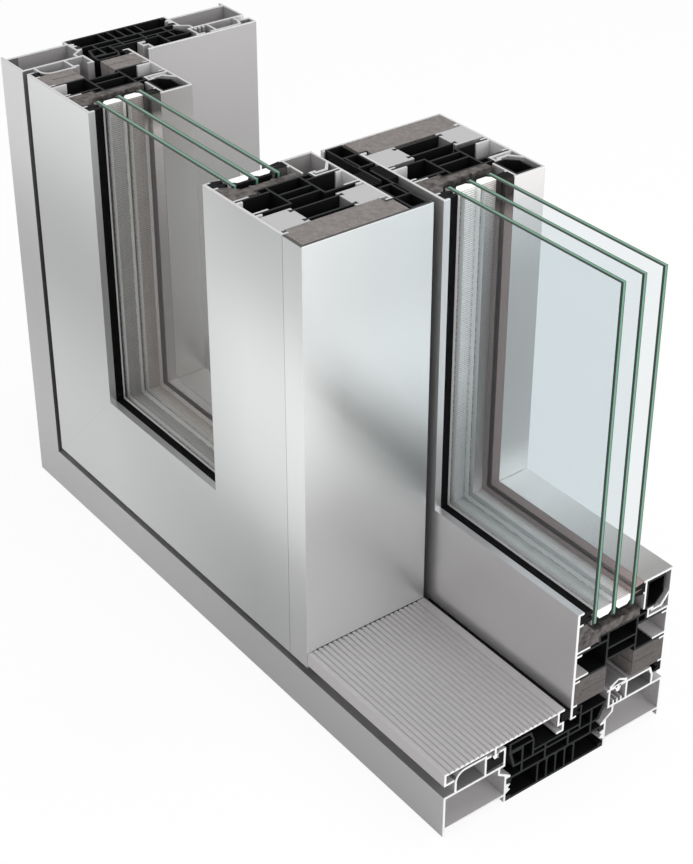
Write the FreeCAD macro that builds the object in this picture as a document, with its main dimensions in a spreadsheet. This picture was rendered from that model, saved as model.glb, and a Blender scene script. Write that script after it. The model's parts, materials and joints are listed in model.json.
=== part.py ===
import FreeCAD, Part
import os
import Sketcher
from FreeCAD import Vector

# Cutaway corner sample of a two-track glass sliding patio door: left jamb and sill
# of the outer frame, a fixed leaf in the front track and a sliding leaf in the rear
# track, sawn off level at the top and square at the right end.
# X runs along the width, Y from the front to the back, Z up.
# The drawing origin is the outer front bottom corner of the frame. Every body is
# then shifted so that the origin is the middle of the footprint, on the floor.

os.makedirs("parts", exist_ok=True)
doc = FreeCAD.newDocument("SlidingDoorSample")
sheet = doc.addObject("Spreadsheet::Sheet", "Sizes")

# Driving sizes in millimetres. In a section, depth is measured from the front
# and height from the outer edge of the frame or of the leaf inwards.
sizes = {
    # whole sample
    "overallWidth": 497.0,
    "frameDepth": 183.0,
    "cutHeight": 344.0,
    # tracks and leaves
    "leafSeat": 38.2,
    "leafFace": 82.6,
    "trackGap": 21.2,
    "backReveal": 0.8,
    "jointLine": 339.4,
    "meetOverlap": 61.0,
    "sealSeat": 8.3,
    "fitGap": 0.1,
    "runGap": 0.3,
    # aluminium of the frame
    "frameWall": 1.5,
    "boxHigh": 31.6,
    "footHigh": 5.0,
    "boxPastMiddle": 9.95,
    "stepIn": 5.6,
    "stepHigh": 26.0,
    "noseHigh": 20.0,
    "noseReach": 3.3,
    "grooveTop": 18.6,
    "grooveHigh": 4.6,
    "toothReach": 3.6,
    "toothNext": 5.8,
    "toothEnd": 7.9,
    "guideTop": 47.0,
    "guideRound": 8.0,
    "clipChannel": 13.7,
    "clipInset": 1.7,
    "clipLip": 3.6,
    "clipTop": 45.4,
    "clipBed": 34.4,
    # rail side of the rear aluminium
    "railBefore": 7.45,
    "railWide": 15.0,
    "railLip": 4.4,
    "railTop": 45.5,
    "railPeak": 50.8,
    "railShoulder": 47.6,
    "railSkin": 1.3,
    "railClear": 3.2,
    "railStem": 1.8,
    "catchWide": 1.1,
    "catchHigh": 3.0,
    "slantWide": 2.5,
    "slantLow": 38.4,
    # plastic thermal break
    "breakWall": 1.5,
    "stripThick": 1.8,
    "anchorDeep": 4.0,
    "floorTop": 31.0,
    "floorLow": 25.2,
    "upstandTop": 46.1,
    "upstandInset": 1.2,
    "upstandSlope": 3.0,
    "shelfTop": 38.4,
    "guideWall": 46.0,
    "postInset": 11.5,
    "combInset": 25.3,
    "combPost": 1.3,
    "combHead": 1.4,
    # leaf shells
    "skin": 1.8,
    "lipWall": 1.4,
    "pocketDeep": 5.0,
    "pocketHigh": 10.2,
    "edgePocket": 10.2,
    "lowStrip": 29.2,
    "highStrip": 49.7,
    "armReach": 12.5,
    "hookReach": 6.0,
    "beadSeatReach": 19.5,
    "beadSeatLip": 5.0,
    "beadSeatHigh": 58.5,
    # leaf core
    "coreHalf": 13.3,
    "coreWall": 1.5,
    "coreTop": 57.3,
    "coreWebHigh": 42.5,
    "coreWebLow": 33.8,
    # soft filling
    "foamStart": 9.5,
    "slitHigh": 19.0,
    "slitDeep": 20.0,
    "slitWide": 0.6,
    "packTop": 63.4,
    "packRise": 66.5,
    "packRidge": 1.2,
    # glazing
    "glassThick": 4.0,
    "glassFront": 11.9,
    "rearSealDeep": 7.6,
    "glassStart": 69.5,
    "spacerStart": 72.0,
    "spacerHigh": 7.0,
    "spacerBevel": 2.4,
    "beadWide": 25.0,
    "beadLeg": 60.0,
    "beadFootReach": 16.5,
    "sealHigh": 10.0,
    "sealLip": 1.2,
    "sealNotch": 4.0,
    # meeting stiles
    "coverWide": 19.2,
    "coverWall": 1.4,
    "coverPast": 15.5,
    "coverLip": 3.0,
    "coverTongue": 7.0,
    "coverLiner": 0.5,
    "blockWide": 20.6,
    "blockDeep": 21.8,
    "blockSkip": 4.6,
    "strapFoot": 3.2,
    "meetWall": 1.5,
    "meetInner": 16.4,
    "meetDeep": 13.3,
    "meetWeb": 3.6,
    "meetArm": 7.0,
    "hookLong": 22.0,
    "pileInset": 4.0,
    "pilePitch": 1.8,
    "pileThick": 1.0,
    "pileBase": 1.2,
    # ribbed threshold plate and plain jamb cover
    "plateShort": 5.2,
    "plateTop": 50.1,
    "plateWall": 1.5,
    "plateLip": 9.5,
    "plateReturn": 7.8,
    "plateLegStep": 2.6,
    "plateLegMid": 40.2,
    "plateLegLow": 32.6,
    "plateFoot": 6.0,
    "ribPitch": 3.9,
    "ribDeep": 0.9,
    "jambCoverShort": 10.5,
    "jambCoverTop": 47.8,
}

row = 1
for alias, number in sizes.items():
    sheet.set(f"A{row}", alias)
    sheet.set(f"B{row}", str(number))
    sheet.setAlias(f"B{row}", alias)
    row += 1
doc.recompute()


# A length that knows its number and the sheet formula that it comes from.
class Length:
    def __init__(self, value, formula):
        self.value = value
        self.formula = formula

    def __add__(self, other):
        other = asLength(other)
        return Length(self.value + other.value, f"({self.formula} + {other.formula})")

    def __radd__(self, other):
        return asLength(other) + self

    def __sub__(self, other):
        other = asLength(other)
        return Length(self.value - other.value, f"({self.formula} - {other.formula})")

    def __rsub__(self, other):
        return asLength(other) - self

    def __mul__(self, factor):
        return Length(self.value * factor, f"{self.formula} * {factor}")

    def __truediv__(self, factor):
        return Length(self.value / factor, f"{self.formula} / {factor}")


def asLength(number):
    if isinstance(number, Length):
        return number
    return Length(float(number), str(float(number)))


class Namespace:
    pass


z = Namespace()
for alias in sizes:
    setattr(z, alias, Length(float(sheet.get(alias)), f"Sizes.{alias}"))
zero = asLength(0.0)

# Sizes that follow from the ones in the sheet.
z.leafDepth = (z.frameDepth - z.trackGap - z.backReveal) / 2
z.leafMiddle = z.leafDepth / 2
z.trackPitch = z.leafDepth + z.trackGap
z.boxDeep = z.leafMiddle + z.boxPastMiddle
z.channelRear = z.boxDeep - z.clipInset - z.frameWall
z.channelFront = z.channelRear - z.clipChannel
z.railWallFront = z.trackPitch + z.leafMiddle - z.railBefore
z.railWallRear = z.railWallFront + z.railWide
z.upstandFront = z.boxDeep + z.upstandInset
z.coreWing = z.leafMiddle - z.coreHalf - z.beadSeatReach - z.runGap
glazingDepth = z.leafDepth - z.glassFront - z.rearSealDeep - z.beadWide
z.glassGap = (glazingDepth - z.glassThick * 3) / 2
z.coverDeep = z.leafDepth + z.coverPast
z.plateDeep = z.trackPitch - z.plateShort
z.mitreWaste = z.leafFace * 1.5
z.fixedFoot = z.plateTop + z.runGap
z.slidingFoot = z.railPeak + z.railClear


# Sketches, pads, mitre cuts and sweeps

def basePlane(body, role):
    return [item for item in body.Origin.OriginFeatures if item.Role == role][0]


def newBody(label):
    body = doc.addObject("PartDesign::Body", "Body_" + label)
    body.Label = label
    body.AllowCompound = True
    body.setExpression("Placement.Base.x", "-Sizes.overallWidth / 2")
    body.setExpression("Placement.Base.y", "-Sizes.frameDepth / 2")
    return body


# Like pieces that share a node: separate solids that don't touch.
def group(label, members):
    node = doc.addObject("Part::Compound", "Group_" + label)
    node.Label = label
    node.Links = members
    for member in members:
        member.Label = f"{label}_piece_{members.index(member)}"
    return node


def newSketch(body, name, role, offset):
    sketch = body.newObject("Sketcher::SketchObject", name)
    sketch.AttachmentSupport = [(basePlane(body, role), "")]
    sketch.MapMode = "FlatFace"
    sketch.setExpression("AttachmentOffset.Base.z", offset.formula)
    return sketch


# Each corner is (across, up) or (across, up, radius); a radius rounds a corner
# between a level and an upright side.
def drawLoop(sketch, corners, closed=True):
    spots = []
    for index, corner in enumerate(corners):
        across = asLength(corner[0])
        up = asLength(corner[1])
        if len(corner) == 2:
            spots.append([(across, up)])
            continue
        radius = corner[2]
        before = corners[index - 1]
        after = corners[(index + 1) % len(corners)]
        spots.append([
            stepTowards(across, up, before, radius),
            stepTowards(across, up, after, radius),
            radius,
            (across, up),
        ])
    first = sketch.GeometryCount
    geometry = []
    marks = []
    count = len(spots)
    lineCount = count if closed else count - 1
    for index in range(lineCount):
        start = spots[index][1] if len(spots[index]) > 1 else spots[index][0]
        end = spots[(index + 1) % count][0]
        geometry.append(Part.LineSegment(flat(start), flat(end)))
        marks.append((index, start, end))
    sketch.addGeometry(geometry, False)
    constraints = []
    formulas = []

    def fix(kind, line, point, length):
        constraints.append(Sketcher.Constraint(kind, line, point, length.value))
        formulas.append((len(constraints) - 1, length.formula))

    for index, start, end in marks:
        line = first + index
        fix("DistanceX", line, 1, start[0])
        fix("DistanceY", line, 1, start[1])
        following = (index + 1) % count
        rounded = len(spots[following]) > 1
        if rounded or (not closed and index == lineCount - 1):
            fix("DistanceX", line, 2, end[0])
            fix("DistanceY", line, 2, end[1])
        else:
            constraints.append(
                Sketcher.Constraint("Coincident", line, 2, first + following, 1)
            )
    base = sketch.ConstraintCount
    sketch.addConstraint(constraints)
    for place, formula in formulas:
        sketch.setExpression(f"Constraints[{base + place}]", formula)
    for index, spot in enumerate(spots):
        if len(spot) > 1:
            roundCorner(sketch, first, index, count, spot)


def stepTowards(across, up, other, radius):
    otherAcross = asLength(other[0]).value
    otherUp = asLength(other[1]).value
    if abs(otherAcross - across.value) > abs(otherUp - up.value):
        if otherAcross > across.value:
            return (across + radius, up)
        return (across - radius, up)
    if otherUp > up.value:
        return (across, up + radius)
    return (across, up - radius)


def flat(spot):
    return Vector(spot[0].value, spot[1].value, 0)


def roundCorner(sketch, first, index, count, spot):
    start = flat(spot[0])
    end = flat(spot[1])
    corner = flat(spot[3])
    centre = start + end - corner
    middle = centre + (corner - centre).normalize() * spot[2].value
    arc = Part.Arc(start, middle, end)
    place = sketch.addGeometry(arc, False)
    turnsLeft = (middle - start).cross(end - middle).z > 0
    ends = (1, 2) if turnsLeft else (2, 1)
    before = first + (index - 1) % count
    base = sketch.ConstraintCount
    sketch.addConstraint([
        Sketcher.Constraint("Coincident", before, 2, place, ends[0]),
        Sketcher.Constraint("Coincident", first + index, 1, place, ends[1]),
        Sketcher.Constraint("Radius", place, spot[2].value),
    ])
    sketch.setExpression(f"Constraints[{base + 2}]", spot[2].formula)


def pad(body, name, role, offset, length, loops):
    sketch = newSketch(body, name + "Sketch", role, offset)
    for loop in loops:
        drawLoop(sketch, loop)
    feature = body.newObject("PartDesign::Pad", name)
    feature.Profile = sketch
    feature.setExpression("Length", length.formula)
    sketch.Visibility = False
    return feature


def cutThrough(body, name, role, loops):
    sketch = newSketch(body, name + "Sketch", role, zero)
    for loop in loops:
        drawLoop(sketch, loop)
    feature = body.newObject("PartDesign::Pocket", name)
    feature.Profile = sketch
    feature.Type = "ThroughAll"
    feature.SideType = "Symmetric"
    return feature


def sweep(body, name, section, path):
    sectionSketch = newSketch(body, name + "Section", "XY_Plane", path[0][1])
    drawLoop(sectionSketch, section)
    pathSketch = newSketch(body, name + "Path", "XZ_Plane", zero)
    drawLoop(pathSketch, path, closed=False)
    feature = body.newObject("PartDesign::AdditivePipe", name)
    feature.Profile = sectionSketch
    feature.Spine = (pathSketch, [f"Edge{index + 1}" for index in range(len(path) - 1)])
    feature.Transition = "Right corner"
    return feature


# Placing of sections. A section is drawn as loops of (depth, height).

def place(loops, mapping):
    placed = []
    for loop in loops:
        placed.append([mapping(*corner[:2]) + tuple(corner[2:]) for corner in loop])
    return placed


def lying(front, bottom):
    return lambda depth, height: (front + depth, bottom + height)


def standing(front, edge, side):
    if side > 0:
        return lambda depth, height: (edge + height, front + depth)
    return lambda depth, height: (edge - height, front + depth)


def rail(label, loops, front, bottom, left, right, mitres):
    body = newBody(label)
    pad(body, label + "Pad", "YZ_Plane", left, right - left, place(loops, lying(front, bottom)))
    addMitres(body, label, mitres)
    return body


def stile(label, loops, front, edge, side, bottom, mitres):
    body = newBody(label)
    placed = place(loops, standing(front, edge, side))
    pad(body, label + "Pad", "XY_Plane", bottom, z.cutHeight - bottom, placed)
    addMitres(body, label, mitres)
    return body


def addMitres(body, label, mitres):
    for index, mitre in enumerate(mitres):
        cutThrough(body, f"{label}Mitre{index}", "XZ_Plane", [mitre])


# The waste of a 45 degree mitre at an outer corner; side is +1 where the member
# runs to the right of the corner and -1 where it runs to the left.
def railMitre(cornerAcross, cornerUp, reach, side):
    far = cornerAcross + reach if side > 0 else cornerAcross - reach
    out = cornerAcross - reach if side > 0 else cornerAcross + reach
    return [(cornerAcross, cornerUp), (far, cornerUp + reach), (out, cornerUp + reach),
            (out, cornerUp)]


def stileMitre(cornerAcross, cornerUp, reach, side):
    far = cornerAcross + reach if side > 0 else cornerAcross - reach
    return [(cornerAcross, cornerUp), (far, cornerUp + reach), (far, cornerUp - reach),
            (cornerAcross, cornerUp - reach)]


# Sections of the outer frame

def breakTeeth(face, side):
    low = z.grooveTop - z.grooveHigh
    tooth = z.toothReach * side
    return [
        (face, low),
        (face + tooth, low - z.lipWall),
        (face + z.frameWall * side, low - z.toothReach),
        (face + tooth, low - z.toothNext),
        (face, low - z.toothEnd),
    ]


def frontAluminium():
    wall = z.frameWall
    box = z.boxDeep
    channelFront = z.channelFront
    channelRear = z.channelRear
    outer = [
        (zero, zero),
        (zero, z.boxHigh),
        (z.sealSeat, z.boxHigh),
        (z.sealSeat, z.guideTop, z.guideRound),
        (channelFront, z.guideTop),
        (channelFront, z.clipTop),
        (channelFront + z.clipLip, z.clipTop),
        (channelFront + z.clipLip, z.clipTop - wall),
        (channelFront, z.clipTop - wall),
        (channelFront, z.boxHigh),
        (channelRear, z.boxHigh),
        (channelRear, z.clipTop - wall),
        (channelRear - z.clipLip, z.clipTop - wall),
        (channelRear - z.clipLip, z.clipTop),
        (channelRear + wall, z.clipTop),
        (channelRear + wall, z.boxHigh - wall),
        (box - z.stepIn, z.boxHigh - wall),
        (box - z.stepIn, z.stepHigh),
        (box + z.noseReach, z.noseHigh),
        (box + z.noseReach, z.grooveTop),
        (box, z.grooveTop),
    ] + breakTeeth(box, 1) + [
        (box, zero),
        (box - wall, zero),
        (box - wall, z.footHigh),
        (wall, z.footHigh),
        (wall, zero),
    ]
    chamber = [
        (wall, z.footHigh + wall),
        (wall, z.boxHigh - wall),
        (box - z.stepIn - wall, z.boxHigh - wall),
        (box - z.stepIn - wall, z.stepHigh - wall / 2),
        (box - wall, z.noseHigh + wall),
        (box - wall, z.footHigh + wall),
    ]
    guide = [
        (z.sealSeat + wall, z.boxHigh),
        (z.sealSeat + wall, z.guideTop - wall, z.guideRound - wall),
        (channelFront - wall, z.guideTop - wall),
        (channelFront - wall, z.boxHigh),
    ]
    return [outer, chamber, guide]


def rearAluminium():
    wall = z.frameWall
    back = z.frameDepth
    box = back - z.boxDeep
    slant = z.trackPitch + z.leafDepth - z.sealSeat
    catchTop = z.boxHigh + z.catchHigh
    catchCount = 3
    catchPitch = (z.railWallRear - z.railWallFront - wall) / (catchCount + 1)
    catches = []
    for turn in range(catchCount):
        middle = z.railWallRear - catchPitch * (turn + 1)
        catches += [
            (middle + z.catchWide / 2, z.boxHigh),
            (middle + z.catchWide / 2, catchTop),
            (middle - z.catchWide / 2, catchTop),
            (middle - z.catchWide / 2, z.boxHigh),
        ]
    outer = [
        (back, zero),
        (back, z.boxHigh),
        (slant, z.boxHigh),
        (slant, z.slantLow),
        (slant - z.slantWide, z.railTop),
        (z.railWallRear - z.railLip, z.railTop),
        (z.railWallRear - z.railLip, z.railTop - wall),
        (z.railWallRear, z.railTop - wall),
        (z.railWallRear, z.boxHigh),
    ] + catches + [
        (z.railWallFront + wall, z.boxHigh),
        (z.railWallFront + wall, z.railTop - wall),
        (z.railWallFront + wall + z.railLip, z.railTop - wall),
        (z.railWallFront + wall + z.railLip, z.railTop),
        (z.railWallFront - wall, z.railTop),
        (z.railWallFront - wall, z.railTop - wall),
        (z.railWallFront, z.railTop - wall),
        (z.railWallFront, z.boxHigh - wall),
        (box + z.stepIn, z.boxHigh - wall),
        (box + z.stepIn, z.stepHigh),
        (box - z.noseReach, z.noseHigh),
        (box - z.noseReach, z.grooveTop),
        (box, z.grooveTop),
    ] + breakTeeth(box, -1) + [
        (box, zero),
        (box + wall, zero),
        (box + wall, z.footHigh),
        (back - wall, z.footHigh),
        (back - wall, zero),
    ]
    chamber = [
        (back - wall, z.footHigh + wall),
        (back - wall, z.boxHigh - wall),
        (box + z.stepIn + wall, z.boxHigh - wall),
        (box + z.stepIn + wall, z.stepHigh - wall / 2),
        (box + wall, z.noseHigh + wall),
        (box + wall, z.footHigh + wall),
    ]
    seat = [
        (z.railWallRear + wall, z.boxHigh),
        (z.railWallRear + wall, z.railTop - wall),
        (slant - z.slantWide - wall, z.railTop - wall),
        (slant - wall, z.slantLow),
        (slant - wall, z.boxHigh),
    ]
    return [outer, chamber, seat]


def thermalBreak():
    wall = z.breakWall
    gap = z.fitGap
    front = z.boxDeep + gap
    back = z.frameDepth - z.boxDeep - gap
    anchorTop = z.grooveTop - gap
    anchorLow = z.grooveTop - z.grooveHigh + gap
    stripLow = anchorTop - z.stripThick
    footTop = z.stripThick * 2
    upstandRear = z.leafDepth - z.sealSeat
    guide = z.trackPitch + z.sealSeat
    postPitch = (back - front - z.postInset * 2 - wall) / 3
    posts = [front + z.postInset + postPitch * turn for turn in range(4)]
    combFirst = front + z.combInset
    combEnd = back - z.combInset
    combPitch = (combEnd - combFirst - z.combPost) / 4
    clear = z.noseReach + gap
    slopeWall = wall * 1.5
    cornerWall = wall * 2.5
    shelfEnd = z.railWallFront - z.frameWall - gap * 2
    outer = [
        (front, zero),
        (back, zero),
        (back, footTop),
        (back - z.anchorDeep, footTop),
        (back - z.anchorDeep, z.stripThick),
        (combEnd, z.stripThick),
        (combEnd, stripLow),
        (back - z.anchorDeep, stripLow),
        (back - z.anchorDeep, anchorLow),
        (back, anchorLow),
        (back, anchorTop),
        (back - clear, anchorTop),
        (posts[3] + wall, anchorTop),
        (posts[3] + wall, z.floorLow),
        (back - clear - wall, z.floorLow),
        (shelfEnd, z.shelfTop - wall),
        (shelfEnd, z.shelfTop),
        (guide + wall, z.shelfTop),
        (guide + wall, z.guideWall),
        (guide, z.guideWall),
        (guide, z.floorTop),
        (upstandRear, z.floorTop),
        (upstandRear, z.shelfTop),
        (upstandRear - z.upstandSlope, z.upstandTop),
        (z.upstandFront, z.upstandTop),
        (z.upstandFront, z.shelfTop),
        (front + clear + wall, z.floorLow),
        (posts[0], z.floorLow),
        (posts[0], anchorTop),
        (front, anchorTop),
        (front, anchorLow),
        (front + z.anchorDeep, anchorLow),
        (front + z.anchorDeep, stripLow),
        (combFirst, stripLow),
        (combFirst, z.stripThick),
        (front + z.anchorDeep, z.stripThick),
        (front + z.anchorDeep, footTop),
        (front, footTop),
    ]
    loops = [outer]
    ceiling = z.floorLow + wall
    underFloor = z.floorTop - wall

    def room(left, right, low, high):
        loops.append([(left, low), (right, low), (right, high), (left, high)])

    head = z.combHead
    for turn in range(4):
        left = combFirst + combPitch * turn + z.combPost
        right = left + combPitch - z.combPost
        loops.append([
            (left, z.stripThick),
            (right, z.stripThick),
            (right, stripLow - head),
            (right - head, stripLow),
            (left + head, stripLow),
            (left, stripLow - head),
        ])
    for turn in range(3):
        room(posts[turn] + wall, posts[turn + 1], anchorTop, z.floorLow)
    loops.append([
        (z.upstandFront + wall, z.shelfTop + wall),
        (upstandRear - wall, z.shelfTop + wall),
        (upstandRear - z.upstandSlope - wall, z.upstandTop - wall),
        (z.upstandFront + wall, z.upstandTop - wall),
    ])
    loops.append([
        (front + clear + wall * 2, ceiling),
        (posts[0], ceiling),
        (posts[0], z.shelfTop - wall),
        (z.upstandFront + slopeWall, z.shelfTop - wall),
    ])
    room(posts[0] + wall, upstandRear - wall, ceiling, z.shelfTop)
    room(upstandRear, posts[1], ceiling, underFloor)
    room(posts[1] + wall, posts[2], ceiling, underFloor)
    room(posts[2] + wall, guide, ceiling, underFloor)
    room(guide + wall, posts[3], ceiling, z.shelfTop - wall)
    loops.append([
        (posts[3] + wall, ceiling),
        (back - clear - cornerWall, ceiling),
        (shelfEnd - slopeWall, z.shelfTop - wall),
        (posts[3] + wall, z.shelfTop - wall),
    ])
    return loops


def runningRail():
    gap = z.fitGap
    front = z.railWallFront + z.frameWall / 2
    rear = z.railWallRear + z.frameWall / 2
    middle = (front + rear) / 2
    stemHalf = z.railStem / 2
    barb = z.railStem / 2
    lipLow = z.railTop - z.frameWall
    base = z.railTop + gap
    cap = [
        (front, base),
        (front, z.railShoulder),
        (middle, z.railPeak),
        (rear, z.railShoulder),
        (rear, base),
        (middle + stemHalf, base),
        (middle + stemHalf, lipLow - gap),
        (middle + stemHalf + barb * 2, lipLow - gap),
        (middle + stemHalf, lipLow - z.railStem * 2),
        (middle - stemHalf, lipLow - z.railStem * 2),
        (middle - stemHalf - barb * 2, lipLow - gap),
        (middle - stemHalf, lipLow - gap),
        (middle - stemHalf, base),
    ]
    hollow = [
        (front + z.railSkin, base + z.railSkin / 2),
        (middle, z.railPeak - z.railSkin),
        (rear - z.railSkin, base + z.railSkin / 2),
    ]
    return [cap, hollow]


def coverPlate(front, back, top, side):
    wall = z.plateWall

    def at(depth):
        return front + depth if side > 0 else back - depth

    deep = back - front
    legOuter = deep - wall
    legMid = legOuter - z.plateLegStep
    outer = [
        (at(zero), top),
        (at(deep), top),
        (at(deep), top - wall),
        (at(legMid), top - wall),
        (at(legMid), z.plateLegMid),
        (at(legOuter + wall), z.plateLegMid),
        (at(legOuter + wall), z.plateLegLow),
        (at(legOuter + wall - z.plateFoot), z.plateLegLow),
        (at(legOuter + wall - z.plateFoot), z.plateLegLow + wall),
        (at(legOuter), z.plateLegLow + wall),
        (at(legOuter), z.plateLegMid - wall),
        (at(legMid - wall), z.plateLegMid - wall),
        (at(legMid - wall), top - wall),
    ]
    return outer, at


def thresholdPlate():
    outer, at = coverPlate(zero, z.plateDeep, z.plateTop, 1)
    wall = z.plateWall
    under = z.plateTop - wall
    clip = (z.channelFront + z.channelRear) / 2
    stemFront = clip - wall / 2
    stemRear = clip + wall / 2
    barbHigh = z.clipTop - z.frameWall - z.fitGap
    barbLow = barbHigh - z.frameWall * 2
    return [outer + [
        (stemRear, under),
        (stemRear, barbHigh),
        (stemRear + wall, barbHigh),
        (stemRear, barbLow),
        (stemFront, barbLow),
        (stemFront - wall, barbHigh),
        (stemFront, barbHigh),
        (stemFront, under),
        (wall, under),
        (wall, z.plateTop - z.plateLip + wall),
        (z.plateReturn, z.plateTop - z.plateLip + wall),
        (z.plateReturn, z.plateTop - z.plateLip),
        (zero, z.plateTop - z.plateLip),
    ]]


# A soft bed in the clip channel grips the plate's barb.
def clipBed():
    gap = z.fitGap
    clip = (z.channelFront + z.channelRear) / 2
    half = z.plateWall * 1.5 + z.runGap
    under = z.clipTop - z.frameWall
    seat = under - gap - z.frameWall * 2 - z.runGap
    left = z.channelFront + gap
    right = z.channelRear - gap
    return [
        (left, z.clipBed),
        (right, z.clipBed),
        (right, under - gap),
        (clip + half, under - gap),
        (clip + half, seat),
        (clip - half, seat),
        (clip - half, under - gap),
        (left, under - gap),
    ]


def jambCover():
    back = z.frameDepth
    outer, at = coverPlate(z.leafDepth + z.jambCoverShort, back, z.jambCoverTop, -1)
    wall = z.plateWall
    under = z.jambCoverTop - wall
    low = z.jambCoverTop - z.plateLip
    return [outer + [
        (at(wall), under),
        (at(wall), low + wall),
        (at(z.plateReturn), low + wall),
        (at(z.plateReturn), low),
        (at(zero), low),
    ]]


# Sections of a leaf. Depth is from its outer skin, on either face.

def strapGroove(high, reach, inner):
    return [
        (reach, high + z.lipWall + z.stripThick),
        (reach, high + z.stripThick),
        (inner, high + z.stripThick),
        (inner, high),
        (z.hookReach, high),
        (z.hookReach, high - z.lipWall),
        (inner, high - z.lipWall),
    ]


def outerPocket():
    top = z.edgePocket
    return [
        (z.skin, top),
        (z.pocketDeep, top),
        (z.pocketDeep, top - z.lipWall),
        (z.skin, top - z.lipWall),
        (z.skin, z.lipWall),
        (z.pocketDeep, z.lipWall),
        (z.pocketDeep, zero),
    ]


def plainEnd():
    return [
        (z.skin, z.lipWall),
        (z.pocketDeep, z.lipWall),
        (z.pocketDeep, zero),
    ]


def frontShell(outerEnd):
    high = z.highStrip + z.stripThick + z.lipWall
    low = z.lowStrip + z.stripThick + z.lipWall
    pocketLow = z.leafFace - z.pocketHigh
    return [[
        (zero, zero),
        (zero, z.leafFace),
        (z.pocketDeep, z.leafFace),
        (z.pocketDeep, z.leafFace - z.lipWall),
        (z.skin, z.leafFace - z.lipWall),
        (z.skin, pocketLow + z.lipWall),
        (z.pocketDeep, pocketLow + z.lipWall),
        (z.pocketDeep, pocketLow),
        (z.skin, pocketLow),
        (z.skin, high),
    ] + strapGroove(z.highStrip, z.armReach, z.skin) + [
        (z.skin, low),
    ] + strapGroove(z.lowStrip, z.armReach, z.skin) + outerEnd]


def rearShell(outerEnd):
    high = z.highStrip + z.stripThick + z.lipWall
    low = z.lowStrip + z.stripThick + z.lipWall
    reach = z.beadSeatReach
    loop = [
        (zero, zero),
        (zero, high),
        (reach - z.lipWall, high),
        (reach - z.lipWall, z.beadSeatHigh - z.lipWall),
        (reach - z.beadSeatLip, z.beadSeatHigh - z.lipWall),
        (reach - z.beadSeatLip, z.beadSeatHigh),
        (reach, z.beadSeatHigh),
    ] + strapGroove(z.highStrip, reach, z.skin)[1:] + [
        (z.skin, low),
    ] + strapGroove(z.lowStrip, z.armReach, z.skin) + outerEnd
    return [[(z.leafDepth - corner[0], corner[1]) for corner in loop]]


def leafCore():
    middle = z.leafMiddle
    wall = z.coreWall
    gap = z.skin + z.fitGap
    front = middle - z.coreHalf
    rear = middle + z.coreHalf
    high = z.highStrip + z.fitGap
    highTop = z.highStrip + z.stripThick - z.fitGap
    low = z.lowStrip + z.fitGap
    lowTop = z.lowStrip + z.stripThick - z.fitGap
    back = z.leafDepth - gap
    outer = [
        (front - z.coreWing, z.coreTop),
        (rear + z.coreWing, z.coreTop),
        (rear + z.coreWing, highTop),
        (back, highTop),
        (back, high),
        (rear, high),
        (rear, lowTop),
        (back, lowTop),
        (back, low),
        (rear - wall, low),
        (rear - wall, z.coreWebLow),
        (front + wall, z.coreWebLow),
        (front + wall, low),
        (gap, low),
        (gap, lowTop),
        (front, lowTop),
        (front, high),
        (gap, high),
        (gap, highTop),
        (front - z.coreWing, highTop),
    ]

    def room(left, right, bottom, top):
        return [(left, bottom), (right, bottom), (right, top), (left, top)]

    return [
        outer,
        room(front - z.coreWing + wall, front, highTop, z.coreTop - wall),
        room(rear, rear + z.coreWing - wall, highTop, z.coreTop - wall),
        room(front + wall, rear - wall, z.coreWebHigh + wall, z.coreTop - wall),
        room(front + wall, rear - wall, z.coreWebLow + wall, z.coreWebHigh),
    ]


def foamBlock():
    gap = z.fitGap
    inner = z.leafMiddle - z.coreHalf + z.coreWall
    hookLow = z.lowStrip - z.lipWall - gap
    top = z.lowStrip - gap
    return [[
        (z.skin + gap, z.edgePocket + gap),
        (z.pocketDeep + gap, z.edgePocket + gap),
        (z.pocketDeep + gap, z.foamStart),
        (inner, z.foamStart),
        (inner, z.slitHigh),
        (inner - z.slitDeep, z.slitHigh),
        (inner - z.slitDeep, z.slitHigh + z.slitWide),
        (inner, z.slitHigh + z.slitWide),
        (inner, top),
        (z.hookReach + gap, top),
        (z.hookReach + gap, hookLow),
        (z.skin + gap, hookLow),
    ]]


def fromRear(loops):
    return [[(z.leafDepth - corner[0], corner[1]) for corner in loop] for loop in loops]


def rebateFoam():
    gap = z.fitGap
    front = z.leafMiddle - z.coreHalf - z.coreWing
    armTop = z.highStrip + z.stripThick + z.lipWall + gap
    pocketLow = z.leafFace - z.pocketHigh - gap
    rear = z.leafDepth - z.beadWide - z.lipWall
    ridge = z.packRidge
    loop = [
        (z.skin + gap, armTop),
        (z.skin + gap, pocketLow),
        (z.skin + z.hookReach, pocketLow),
        (z.armReach, z.packRise),
        (z.armReach + z.hookReach / 2, z.packTop),
    ]
    for turn in range(2):
        pane = z.glassFront + (z.glassThick + z.glassGap) * turn
        centre = pane + z.glassThick + z.glassGap / 2
        loop += [
            (centre - ridge, z.packTop),
            (centre - ridge / 2, z.packTop + ridge),
            (centre + ridge / 2, z.packTop + ridge),
            (centre + ridge, z.packTop),
        ]
    loop += [
        (rear, z.packTop),
        (rear, z.coreTop + gap),
        (front - gap, z.coreTop + gap),
        (front - gap, armTop),
    ]
    return loop


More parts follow.
